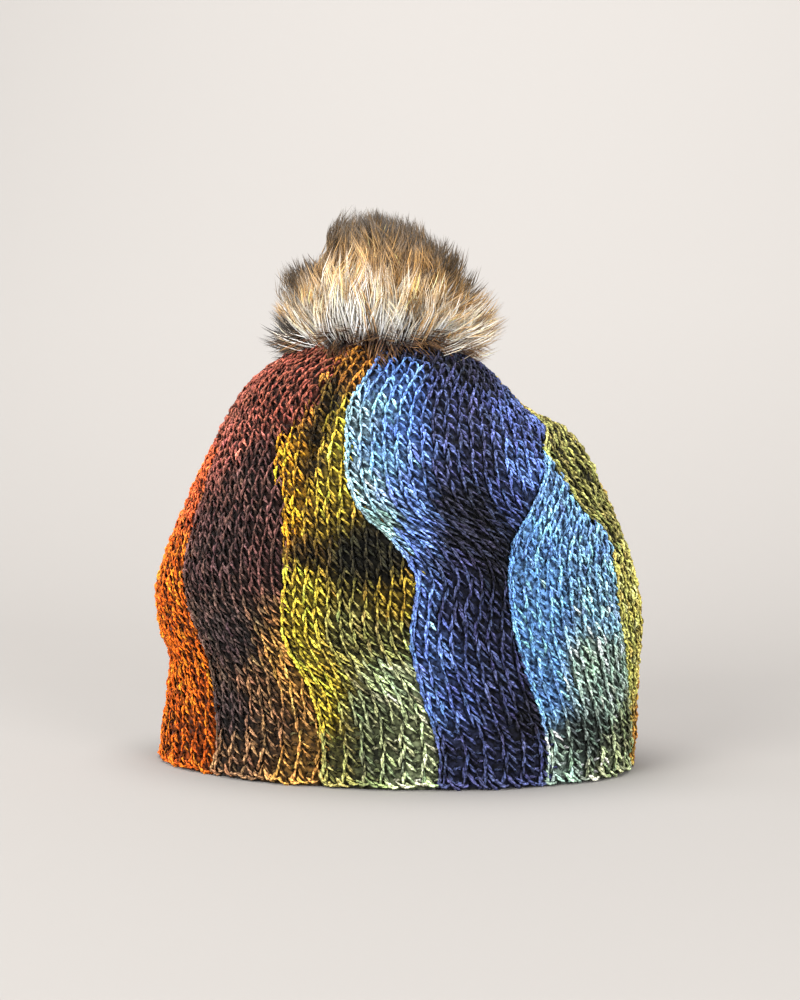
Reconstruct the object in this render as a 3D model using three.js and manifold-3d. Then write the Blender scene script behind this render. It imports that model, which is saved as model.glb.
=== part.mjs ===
// Bobble hat: ten knitted gores standing on a flat rim, and a fur pompom on the crown.
// Millimetres, +Z up, the rim's plane at z = 0, the front towards -Y.
import * as THREE from 'three';
import { mergeVertices } from 'three/addons/utils/BufferGeometryUtils.js';
import Module from 'manifold-3d';

const wasm = await Module();
wasm.setup();

const WALL = 6;               // thickness of the knitted wall
const GAP = 0.3;              // clear joint between neighbouring pieces
const BULGE = 1.8;            // how far a gore swells between its two seams
const RIB_RIM = 1.5;          // rib height in the band at the rim
const RIB_BODY = 0.7;         // rib height above the band
const BAND_LEVEL = 0.13;      // the ribbed band ends at this level
const RIBS = 6;               // ribs in one gore
const FADE_FROM = 0.78;       // the relief fades out under the pompom
const FADE_TO = 0.87;
const CENTRE_SHIFT = 1.012;   // sideways shift that centres the whole hat on the origin
const CROWN_LEVEL = 0.965;    // the gores end here, round the hole at the apex

// Oval sections of the hat from the rim to the crown.
const SECTIONS = [
  { height: 0, lean: -2.5, halfWidth: 114.5, halfDepth: 78 },
  { height: 16, lean: -0.5, halfWidth: 114, halfDepth: 79 },
  { height: 46, lean: 1, halfWidth: 113, halfDepth: 80 },
  { height: 66, lean: -0.5, halfWidth: 116, halfDepth: 81 },
  { height: 90, lean: -1.5, halfWidth: 114, halfDepth: 81 },
  { height: 121, lean: -1, halfWidth: 102.5, halfDepth: 77 },
  { height: 150, lean: -2.5, halfWidth: 87, halfDepth: 68 },
  { height: 176, lean: -10.5, halfWidth: 65, halfDepth: 54 },
  { height: 191, lean: -10.5, halfWidth: 49, halfDepth: 41.5 },
  { height: 201, lean: -10.5, halfWidth: 33, halfDepth: 27.5 },
  { height: 206, lean: -10.5, halfWidth: 16, halfDepth: 13 },
  { height: 207.5, lean: -10.5, halfWidth: 3, halfDepth: 3 },
];

// Angle of each seam in degrees at each level; 0 is the front, 90 the right-hand side.
// A seam is named after the two gores it lies between. Seams de and ef join above the leaf E.
const SEAMS = [
  { level: 0, ab: -40, bc: -8.5, cd: 18.5, de: 46, ef: 87 },
  { level: 0.07, ab: -39.5, bc: -9, cd: 18, de: 45.5, ef: 86.5 },
  { level: 0.14, ab: -41.5, bc: -11, cd: 15, de: 42.5, ef: 84 },
  { level: 0.2, ab: -43, bc: -14.5, cd: 12.5, de: 39, ef: 80 },
  { level: 0.26, ab: -45, bc: -18, cd: 11.5, de: 36.5, ef: 75 },
  { level: 0.32, ab: -50, bc: -18, cd: 12.5, de: 35.5, ef: 73 },
  { level: 0.38, ab: -53.5, bc: -17.5, cd: 13.5, de: 36, ef: 75 },
  { level: 0.44, ab: -56, bc: -18.5, cd: 8.5, de: 39, ef: 77 },
  { level: 0.5, ab: -58, bc: -21.5, cd: 0, de: 47, ef: 68 },
  { level: 0.56, ab: -61, bc: -25.5, cd: -4, de: 56.5, ef: 64.5 },
  { level: 0.62, ab: -63, bc: -29, cd: -4.7, de: 66, ef: 66 },
  { level: 0.7, ab: -67, bc: -16, cd: -2, de: 98, ef: 98 },
  { level: 0.78, ab: -69, bc: -12.5, cd: 6, de: 103, ef: 103 },
  { level: 0.88, ab: -68, bc: -6, cd: 16, de: 100, ef: 100 },
  { level: CROWN_LEVEL, ab: -62, bc: -6, cd: 26, de: 92, ef: 92 },
];

// Seams of the back: the angle at the rim and at the crown, with one shared sideways wave.
const BACK_SEAMS = {
  fg: { rim: 125, crown: 130 },
  gh: { rim: 162, crown: 161 },
  hi: { rim: 199, crown: 192 },
  ij: { rim: 236, crown: 230 },
  ja: { rim: 277, crown: 266 },
};
const WAVE = [
  { level: 0, turn: 0 },
  { level: 0.14, turn: -3 },
  { level: 0.26, turn: -8 },
  { level: 0.38, turn: -8 },
  { level: 0.5, turn: -11 },
  { level: 0.62, turn: -12 },
  { level: 0.78, turn: -5 },
  { level: CROWN_LEVEL, turn: 0 },
];

const LEAF_TOP = 0.62;        // the level where the two seams of the leaf E meet

// One row for each gore, in order round the hat.
const GORES = [
  { name: 'gore_orange', left: 'ja', right: 'ab', colour: 0xd9681c },
  { name: 'gore_brown', left: 'ab', right: 'bc', colour: 0x5b3a35 },
  { name: 'gore_mustard', left: 'bc', right: 'cd', colour: 0xa08426 },
  { name: 'gore_navy', left: 'cd', right: 'de', colour: 0x2c3a63 },
  { name: 'gore_sky', left: 'de', right: 'ef', colour: 0x86b4d8, top: LEAF_TOP },
  { name: 'gore_olive', left: 'ef', right: 'fg', colour: 0x8d8034 },
  { name: 'gore_rust', left: 'fg', right: 'gh', colour: 0x9a4a2c },
  { name: 'gore_plum', left: 'gh', right: 'hi', colour: 0x5a3a4a },
  { name: 'gore_green', left: 'hi', right: 'ij', colour: 0x6f7f4a },
  { name: 'gore_blue', left: 'ij', right: 'ja', colour: 0x41598f },
];
const TIP_SHARE = 0.8;        // the leaf's point stops this far into its last row

// Folds and dents: a line from one place to another, its half width and its depth in mm.
// A negative depth is a swelling.
const FOLDS = [
  { name: 'crease upper', angle: -5, level: 0.78, toAngle: -15, toLevel: 0.61, halfWidth: 3.6, depth: 3 },
  { name: 'crease lower', angle: -15, level: 0.61, toAngle: -14, toLevel: 0.53, halfWidth: 3.6, depth: 2.2 },
  { name: 'right shoulder', angle: 98, level: 0.64, toAngle: 82, toLevel: 0.56, halfWidth: 7, depth: -2.8 },
  { name: 'shoulder dip', angle: 104, level: 0.705, toAngle: 90, toLevel: 0.7, halfWidth: 6, depth: 2.2 },
  { name: 'left waist', angle: -84, level: 0.2, toAngle: -66, toLevel: 0.2, halfWidth: 6, depth: 1.6 },
  { name: 'left swell', angle: -88, level: 0.33, toAngle: -66, toLevel: 0.33, halfWidth: 9, depth: -1.2 },
  { name: 'left rim flare', angle: -86, level: 0.06, toAngle: -70, toLevel: 0.05, halfWidth: 9, depth: -1.2 },
  { name: 'right rim flare', angle: 64, level: 0.03, toAngle: 80, toLevel: 0.03, halfWidth: 9, depth: -1.2 },
  { name: 'leaf hollow', angle: 40, level: 0.5, toAngle: 31, toLevel: 0.3, halfWidth: 6, depth: 1.4 },
];

const SWELLING = Math.max(...FOLDS.map((fold) => -fold.depth));

// Levels of the rows of facets.
const ROWS = [0, 0.035, 0.07, 0.105, 0.14, 0.17, 0.2, 0.23, 0.26, 0.32, 0.38, 0.44, 0.5, 0.56, 0.62, 0.66,
  0.7, 0.78, 0.88, CROWN_LEVEL];
const OUTER_COLUMNS = 2 * RIBS;
const INNER_COLUMNS = RIBS;

const radians = (degrees) => degrees * Math.PI / 180;
const mix = (a, b, share) => a + (b - a) * share;

function smooth(from, to, x) {
  const s = Math.min(1, Math.max(0, (x - from) / (to - from)));
  return s * s * (3 - 2 * s);
}

// A smooth curve through the rows of a table: column `value` against column `key`.
function curve(table, key, value) {
  const last = table.length - 1;
  const slope = table.map((row, i) => {
    const before = table[Math.max(0, i - 1)];
    const after = table[Math.min(last, i + 1)];
    return (after[value] - before[value]) / (after[key] - before[key]);
  });
  return (at) => {
    let i = 0;
    while (i < last - 1 && at > table[i + 1][key]) {
      i += 1;
    }
    const span = table[i + 1][key] - table[i][key];
    const s = (at - table[i][key]) / span;
    const rise = s * s * (3 - 2 * s);
    const start = s * (1 - s) * (1 - s) * span;
    const end = s * s * (s - 1) * span;
    return mix(table[i][value], table[i + 1][value], rise) + start * slope[i] + end * slope[i + 1];
  };
}

// Length of the profile from the rim to each section, with the mean of the two radii.
let along = 0;
const LENGTHS = SECTIONS.map((section, i) => {
  const before = SECTIONS[Math.max(0, i - 1)];
  const inward = (section.halfWidth + section.halfDepth - before.halfWidth - before.halfDepth) / 2;
  along += Math.hypot(section.height - before.height, inward);
  return along;
});
const PROFILE_LENGTH = along;

// Levels run from 0 at the rim to 1 at the apex, in step with the length of the profile.
const PROFILE = SECTIONS.map((section, i) => ({ ...section, level: LENGTHS[i] / PROFILE_LENGTH }));
const heightAt = curve(PROFILE, 'level', 'height');
const leanAt = curve(PROFILE, 'level', 'lean');
const widthAt = curve(PROFILE, 'level', 'halfWidth');
const depthAt = curve(PROFILE, 'level', 'halfDepth');

function formPoint(angle, level) {
  const x = leanAt(level) + CENTRE_SHIFT + widthAt(level) * Math.sin(angle);
  return new THREE.Vector3(x, -depthAt(level) * Math.cos(angle), heightAt(level));
}

function formNormal(angle, level) {
  const step = 0.004;
  const low = Math.max(0, level - step);
  const high = Math.min(1, level + step);
  const round = formPoint(angle + step, level).sub(formPoint(angle - step, level));
  const up = formPoint(angle, high).sub(formPoint(angle, low));
  return round.cross(up).normalize();
}

// Millimetres run on the surface for one radian of angle.
function spread(angle, level) {
  return Math.hypot(widthAt(level) * Math.cos(angle), depthAt(level) * Math.sin(angle));
}

const seamCurves = {};
for (const name of ['ab', 'bc', 'cd', 'de', 'ef']) {
  seamCurves[name] = curve(SEAMS, 'level', name);
}
const leafSeam = seamCurves.ef;
seamCurves.ef = (level) => (level < LEAF_TOP ? leafSeam(level) : seamCurves.de(level));
const wave = curve(WAVE, 'level', 'turn');
for (const [name, seam] of Object.entries(BACK_SEAMS)) {
  seamCurves[name] = (level) => mix(seam.rim, seam.crown, level / CROWN_LEVEL) + wave(level);
}

// Seam angles of a gore in radians; the left one is always less than the right one.
function goreEdges(gore, level) {
  const left = seamCurves[gore.left](level);
  const right = seamCurves[gore.right](level);
  const turn = left > right ? 360 : 0;
  return { left: radians(left - turn), right: radians(right) };
}

// Depth of all the folds at one place, measured on the surface.
function foldDepth(angle, level) {
  let sum = 0;
  for (const fold of FOLDS) {
    const middle = radians((fold.angle + fold.toAngle) / 2);
    const scale = spread(middle, (fold.level + fold.toLevel) / 2);
    const turn = Math.round((angle - middle) / (2 * Math.PI)) * 2 * Math.PI;
    const px = (angle - turn - radians(fold.angle)) * scale;
    const py = (level - fold.level) * PROFILE_LENGTH;
    const dx = radians(fold.toAngle - fold.angle) * scale;
    const dy = (fold.toLevel - fold.level) * PROFILE_LENGTH;
    const share = Math.min(1, Math.max(0, (px * dx + py * dy) / (dx * dx + dy * dy)));
    const away = Math.hypot(px - share * dx, py - share * dy) / fold.halfWidth;
    sum += fold.depth * Math.exp(-away * away);
  }
  return sum;
}

function reliefFade(level) {
  return 1 - smooth(FADE_FROM, FADE_TO, level);
}

// Height of the knitted surface over the plain form: swelling, ribs and folds.
function relief(angle, level, share) {
  const rib = mix(RIB_RIM, RIB_BODY, smooth(BAND_LEVEL - 0.03, BAND_LEVEL + 0.03, level));
  const swell = BULGE * Math.sqrt(4 * share * (1 - share));
  const ribs = rib * (0.5 - 0.5 * Math.cos(2 * Math.PI * RIBS * share));
  return (swell + ribs - foldDepth(angle, level)) * reliefFade(level);
}

function surfacePoint(angle, level, rise) {
  const point = formPoint(angle, level).addScaledVector(formNormal(angle, level), rise);
  if (level === 0) {
    point.z = 0;
  }
  return point;
}

// The outer and the inner line of points across a gore at one level.
function goreRow(gore, level) {
  const edges = goreEdges(gore, level);
  const left = edges.left + GAP / 2 / spread(edges.left, level);
  const right = edges.right - GAP / 2 / spread(edges.right, level);
  const outer = [];
  const inner = [];
  for (let i = 0; i <= OUTER_COLUMNS; i += 1) {
    const share = i / OUTER_COLUMNS;
    const angle = mix(left, right, share);
    outer.push(surfacePoint(angle, level, relief(angle, level, share)));
  }
  for (let i = 0; i <= INNER_COLUMNS; i += 1) {
    const angle = mix(left, right, i / INNER_COLUMNS);
    const rise = -WALL - foldDepth(angle, level) * reliefFade(level);
    inner.push(surfacePoint(angle, level, rise));
  }
  return { outer, inner };
}

// The point of the leaf: part of the way from its last full row to the place where its seams meet.
function tipRow(gore, below, level) {
  const edges = goreEdges(gore, level);
  const meet = (edges.left + edges.right) / 2;
  const towards = (points, rise) => {
    const end = surfacePoint(meet, level, rise);
    return points.map((point) => point.clone().lerp(end, TIP_SHARE));
  };
  const fold = -foldDepth(meet, level) * reliefFade(level);
  return { outer: towards(below.outer, fold), inner: towards(below.inner, fold - WALL) };
}

// A closed strip of wall from rows of outer and inner points.
function stripGeometry(rows) {
  const positions = [];
  const index = [];
  const place = (point) => positions.push(point.x, point.y, point.z) / 3 - 1;
  const grid = rows.map((row) => ({ outer: row.outer.map(place), inner: row.inner.map(place) }));
  const quad = (a, b, c, d) => index.push(a, b, c, a, c, d);
  for (let r = 0; r + 1 < grid.length; r += 1) {
    const low = grid[r];
    const high = grid[r + 1];
    for (let i = 0; i < OUTER_COLUMNS; i += 1) {
      quad(low.outer[i], low.outer[i + 1], high.outer[i + 1], high.outer[i]);
    }
    for (let i = 0; i < INNER_COLUMNS; i += 1) {
      quad(low.inner[i + 1], low.inner[i], high.inner[i], high.inner[i + 1]);
    }
    quad(low.inner[0], low.outer[0], high.outer[0], high.inner[0]);
    quad(low.inner.at(-1), high.inner.at(-1), high.outer.at(-1), low.outer.at(-1));
  }
  const close = (row, flip) => {
    const face = (a, b, c) => (flip ? index.push(a, c, b) : index.push(a, b, c));
    for (let i = 0; i < INNER_COLUMNS; i += 1) {
      face(row.inner[i], row.outer[2 * i + 1], row.outer[2 * i]);
      face(row.inner[i], row.inner[i + 1], row.outer[2 * i + 1]);
      face(row.inner[i + 1], row.outer[2 * i + 2], row.outer[2 * i + 1]);
    }
  };
  close(grid[0], false);
  close(grid[grid.length - 1], true);
  const geometry = new THREE.BufferGeometry();
  geometry.setAttribute('position', new THREE.Float32BufferAttribute(positions, 3));
  geometry.setIndex(index);
  return geometry;
}

function goreGeometry(gore) {
  const top = gore.top ?? 1;
  const rows = ROWS.filter((level) => level < top).map((level) => goreRow(gore, level));
  if (gore.top) {
    rows.push(tipRow(gore, rows[rows.length - 1], gore.top));
  }
  return stripGeometry(rows);
}

function toManifold(geometry) {
  const plain = geometry.clone();
  plain.deleteAttribute('normal');
  plain.deleteAttribute('uv');
  const merged = mergeVertices(plain, 1e-4);
  return new wasm.Manifold(new wasm.Mesh({
    numProp: 3,
    vertProperties: new Float32Array(merged.attributes.position.array),
    triVerts: new Uint32Array(merged.index.array),
  }));
}

function toGeometry(solid) {
  const mesh = solid.getMesh();
  const geometry = new THREE.BufferGeometry();
  const points = new Float32Array(mesh.numVert * 3);
  for (let i = 0; i < mesh.numVert; i += 1) {
    for (let k = 0; k < 3; k += 1) {
      points[3 * i + k] = mesh.vertProperties[i * mesh.numProp + k];
    }
  }
  geometry.setAttribute('position', new THREE.BufferAttribute(points, 3));
  geometry.setIndex(new THREE.BufferAttribute(new Uint32Array(mesh.triVerts), 1));
  return geometry;
}

// A closed body from rings of points, the first and the last ring capped by a point each.
function ringBody(rings, bottom, top) {
  const count = rings[0].length;
  const positions = [];
  const index = [];
  const place = (point) => positions.push(point.x, point.y, point.z) / 3 - 1;
  const grid = rings.map((ring) => ring.map(place));
  const low = place(bottom);
  const high = place(top);
  for (let i = 0; i < count; i += 1) {
    const next = (i + 1) % count;
    index.push(low, grid[0][next], grid[0][i]);
    for (let r = 0; r + 1 < grid.length; r += 1) {
      index.push(grid[r][i], grid[r][next], grid[r + 1][next], grid[r][i], grid[r + 1][next], grid[r + 1][i]);
    }
    index.push(high, grid[grid.length - 1][i], grid[grid.length - 1][next]);
  }
  const geometry = new THREE.BufferGeometry();
  geometry.setAttribute('position', new THREE.Float32BufferAttribute(positions, 3));
  geometry.setIndex(index);
  return geometry;
}

// The pompom: a round core with locks of fur fused to it, seated on the crown.
const POMPOM = { x: -9.5, y: 0, z: 211, core: 41, rootDepth: 7 };
const STUB = { below: 192, above: 216, inset: 2.4, sides: 24 };

// Rings of locks: direction above the level, locks in the ring, first turn, reach from the
// centre, change of reach round the ring, half width at the root.
const LOCKS = [
  { rise: -14, count: 13, turn: 6, reach: 54, change: 1.5, halfWidth: 11 },
  { rise: 3, count: 13, turn: 20, reach: 56, change: 2, halfWidth: 11.5 },
  { rise: 22, count: 12, turn: 2, reach: 51, change: 2.5, halfWidth: 11.5 },
  { rise: 42, count: 9, turn: 16, reach: 50.5, change: 2, halfWidth: 11.5 },
  { rise: 60, count: 6, turn: 35, reach: 50.5, change: 2, halfWidth: 11 },
  { rise: 78, count: 3, turn: 20, reach: 52.5, change: 1.5, halfWidth: 10.5 },
];
const LOCK_SIDES = 5;
const LOCK_BEND = 13;         // degrees that a lock's tip is swept upward and round
const LOCK_WAIST = { along: 0.62, size: 0.74 };
const LOCK_SWAY = { reachTurn: 2.4, riseTurn: 1.7, rise: 4 };

function direction(turn, rise) {
  const a = radians(turn);
  const b = radians(rise);
  return new THREE.Vector3(Math.sin(a) * Math.cos(b), -Math.cos(a) * Math.cos(b), Math.sin(b));
}

function lockBody(turn, rise, reach, halfWidth) {
  const centre = new THREE.Vector3(POMPOM.x, POMPOM.y, POMPOM.z);
  const root = POMPOM.core - POMPOM.rootDepth;
  const middle = mix(root, reach, LOCK_WAIST.along);
  const along = direction(turn, rise);
  const side = new THREE.Vector3(0, 0, 1).cross(along).normalize();
  const across = along.clone().cross(side);
  const ring = (distance, size, bend) => {
    const spot = direction(turn + bend, rise + bend).multiplyScalar(distance).add(centre);
    return Array.from({ length: LOCK_SIDES }, (unused, i) => {
      const a = 2 * Math.PI * i / LOCK_SIDES;
      const point = spot.clone().addScaledVector(side, size * Math.cos(a));
      return point.addScaledVector(across, size * Math.sin(a));
    });
  };
  const tip = direction(turn + LOCK_BEND, rise + LOCK_BEND).multiplyScalar(reach).add(centre);
  const foot = along.clone().multiplyScalar(root - 2).add(centre);
  const waist = ring(middle, halfWidth * LOCK_WAIST.size, LOCK_BEND / 3);
  return ringBody([ring(root, halfWidth, 0), waist], foot, tip);
}

// The crown as one closed body, grown clear of the gores, to seat the pompom on.
function crownBody() {
  const sides = 36;
  const levels = [0.5, 0.6, 0.68, 0.74, 0.78, 0.82, 0.88, 0.925, CROWN_LEVEL];
  const rings = levels.map((level) => Array.from({ length: sides }, (unused, i) => {
    const angle = 2 * Math.PI * i / sides;
    const most = (BULGE + RIB_BODY + SWELLING) * reliefFade(level);
    return surfacePoint(angle, level, most + GAP);
  }));
  const axis = POMPOM.x;
  const bottom = new THREE.Vector3(axis, 0, rings[0][0].z);
  const top = new THREE.Vector3(axis, 0, rings[rings.length - 1][0].z);
  return ringBody(rings, bottom, top);
}

// The tied end that passes down through the hole at the apex.
function stubBody() {
  const level = CROWN_LEVEL;
  const clear = GAP + STUB.inset;
  const ring = (z) => Array.from({ length: STUB.sides }, (unused, i) => {
    const angle = 2 * Math.PI * i / STUB.sides;
    const x = leanAt(level) + CENTRE_SHIFT + (widthAt(level) - clear) * Math.sin(angle);
    return new THREE.Vector3(x, -(depthAt(level) - clear) * Math.cos(angle), z);
  });
  const middle = (z) => new THREE.Vector3(leanAt(level) + CENTRE_SHIFT, 0, z);
  return ringBody([ring(STUB.below), ring(STUB.above)], middle(STUB.below), middle(STUB.above));
}

function pompomGeometry() {
  const core = new THREE.SphereGeometry(POMPOM.core, 24, 14);
  core.rotateX(Math.PI / 2);
  core.translate(POMPOM.x, POMPOM.y, POMPOM.z);
  let solid = toManifold(core);
  let number = 0;
  for (const row of LOCKS) {
    for (let i = 0; i < row.count; i += 1) {
      const turn = row.turn + 360 * i / row.count;
      const reach = row.reach + row.change * Math.sin(LOCK_SWAY.reachTurn * number);
      const rise = row.rise + LOCK_SWAY.rise * Math.sin(LOCK_SWAY.riseTurn * number);
      solid = solid.add(toManifold(lockBody(turn, rise, reach, row.halfWidth)));
      number += 1;
    }
  }
  solid = solid.subtract(toManifold(crownBody()));
  const pieces = solid.decompose();
  solid = pieces.reduce((most, piece) => (piece.numTri() > most.numTri() ? piece : most));
  return toGeometry(solid.add(toManifold(stubBody())));
}

function node(name, geometry, colour, roughness) {
  geometry.computeVertexNormals();
  const material = new THREE.MeshStandardMaterial({ color: colour, roughness, metalness: 0 });
  const mesh = new THREE.Mesh(geometry, material);
  mesh.name = name;
  return mesh;
}

const group = new THREE.Group();
group.name = 'bobble_hat';
for (const gore of GORES) {
  group.add(node(gore.name, goreGeometry(gore), gore.colour, 0.95));
}
group.add(node('pompom', pompomGeometry(), 0xb39a78, 1));

export default group;
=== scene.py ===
"""Looks of the bobble hat: knitted gores of V stitches over a backing wall, and a fur pompom.

Tables are in millimetres and degrees. Meshes are in metres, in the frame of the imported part.
"""
import math

import bmesh
import bpy
import numpy as np
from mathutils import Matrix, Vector


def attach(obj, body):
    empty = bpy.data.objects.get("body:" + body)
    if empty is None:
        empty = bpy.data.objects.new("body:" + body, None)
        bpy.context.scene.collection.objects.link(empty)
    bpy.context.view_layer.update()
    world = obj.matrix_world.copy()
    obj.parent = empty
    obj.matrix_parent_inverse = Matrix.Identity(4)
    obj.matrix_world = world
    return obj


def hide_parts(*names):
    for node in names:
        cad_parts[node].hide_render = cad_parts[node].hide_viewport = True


MM = 0.001
SEED = 11

# Form of the hat: the same sections, seams and folds as the part's own source
WALL = 6.0
GAP = 0.3
BULGE = 1.8
CENTRE_SHIFT = 1.012
CROWN_LEVEL = 0.965
FADE_FROM, FADE_TO = 0.78, 0.87
LEAF_TOP = 0.62

# height, lean, half width, half depth
SECTIONS = np.array([
    (0, -2.5, 114.5, 78),
    (16, -0.5, 114, 79),
    (46, 1, 113, 80),
    (66, -0.5, 116, 81),
    (90, -1.5, 114, 81),
    (121, -1, 102.5, 77),
    (150, -2.5, 87, 68),
    (176, -10.5, 65, 54),
    (191, -10.5, 49, 41.5),
    (201, -10.5, 33, 27.5),
    (206, -10.5, 16, 13),
    (207.5, -10.5, 3, 3),
])

# level, then the angle of each front seam: ab, bc, cd, de, ef
SEAMS = np.array([
    (0, -40, -8.5, 18.5, 46, 87),
    (0.07, -39.5, -9, 18, 45.5, 86.5),
    (0.14, -41.5, -11, 15, 42.5, 84),
    (0.2, -43, -14.5, 12.5, 39, 80),
    (0.26, -45, -18, 11.5, 36.5, 75),
    (0.32, -50, -18, 12.5, 35.5, 73),
    (0.38, -53.5, -17.5, 13.5, 36, 75),
    (0.44, -56, -18.5, 8.5, 39, 77),
    (0.5, -58, -21.5, 0, 47, 68),
    (0.56, -61, -25.5, -4, 56.5, 64.5),
    (0.62, -63, -29, -4.7, 66, 66),
    (0.7, -67, -16, -2, 98, 98),
    (0.78, -69, -12.5, 6, 103, 103),
    (0.88, -68, -6, 16, 100, 100),
    (CROWN_LEVEL, -62, -6, 26, 92, 92),
])
SEAM_COLUMN = {"ab": 1, "bc": 2, "cd": 3, "de": 4, "ef": 5}

# Back seams: angle at the rim, angle at the crown
BACK_SEAMS = {"fg": (125, 130), "gh": (162, 161), "hi": (199, 192), "ij": (236, 230), "ja": (277, 266)}
# level, sideways turn shared by the back seams
WAVE = np.array([
    (0, 0), (0.14, -3), (0.26, -8), (0.38, -8), (0.5, -11), (0.62, -12), (0.78, -5), (CROWN_LEVEL, 0),
])

# Folds: angle, level, to angle, to level, half width, depth
FOLDS = (
    (-5, 0.78, -15, 0.61, 3.6, 3.0),
    (-15, 0.61, -14, 0.53, 3.6, 2.2),
    (98, 0.64, 82, 0.56, 7.0, -2.8),
    (104, 0.705, 90, 0.7, 6.0, 2.2),
    (-84, 0.2, -66, 0.2, 6.0, 1.6),
    (-88, 0.33, -66, 0.33, 9.0, -1.2),
    (-86, 0.06, -70, 0.05, 9.0, -1.2),
    (64, 0.03, 80, 0.03, 9.0, -1.2),
    (40, 0.5, 31, 0.3, 6.0, 1.4),
)

# Yarn colours, as seen, in 0 to 255. The dark ones at the mustard gore's crease and halfway up the front
# gores are partly the yarn's own dark sections and partly painted shade of the crease and dents there.
YARN = {
    "orange": (255, 118, 28),
    "deep_orange": (246, 104, 26),
    "rust_orange": (186, 82, 42),
    "rust": (104, 54, 42),
    "dark_rust": (108, 60, 50),
    "plum": (66, 43, 39),
    "dark_plum_and_shade": (59, 41, 39),
    "black_brown": (50, 39, 38),
    "brown": (106, 78, 54),
    "tan": (176, 129, 64),
    "gold_brown": (154, 100, 38),
    "dark_gold_and_shade": (62, 46, 20),
    "gold": (222, 158, 40),
    "yellow_olive": (196, 170, 58),
    "olive_gold": (136, 114, 38),
    "dark_olive_and_shade": (30, 28, 18),
    "yellow": (190, 166, 56),
    "pale_yellow": (216, 204, 112),
    "olive": (114, 111, 62),
    "sage": (104, 112, 80),
    "pale_sage": (156, 167, 126),
    "grey_sage": (142, 164, 150),
    "dark_sage": (70, 80, 74),
    "sea": (127, 157, 168),
    "sea_green": (104, 130, 126),
    "light_blue": (128, 173, 226),
    "sky": (132, 187, 255),
    "mid_blue": (92, 127, 200),
    "blue": (86, 110, 168),
    "navy_blue": (58, 69, 112),
    "navy": (50, 54, 84),
    "dark_navy": (30, 30, 43),
    "aqua": (142, 186, 222),
}

# Line that the mustard gore's knit columns run along: level, angle
MUSTARD_GRAIN = np.array([
    (0, -8.5), (0.14, -11), (0.26, -18), (0.38, -18.5),
    (0.5, -22), (0.62, -25), (0.78, -22), (CROWN_LEVEL, -18),
])
# Level at which that gore's edge line ends
MUSTARD_EDGE_END = 0.5

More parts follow.
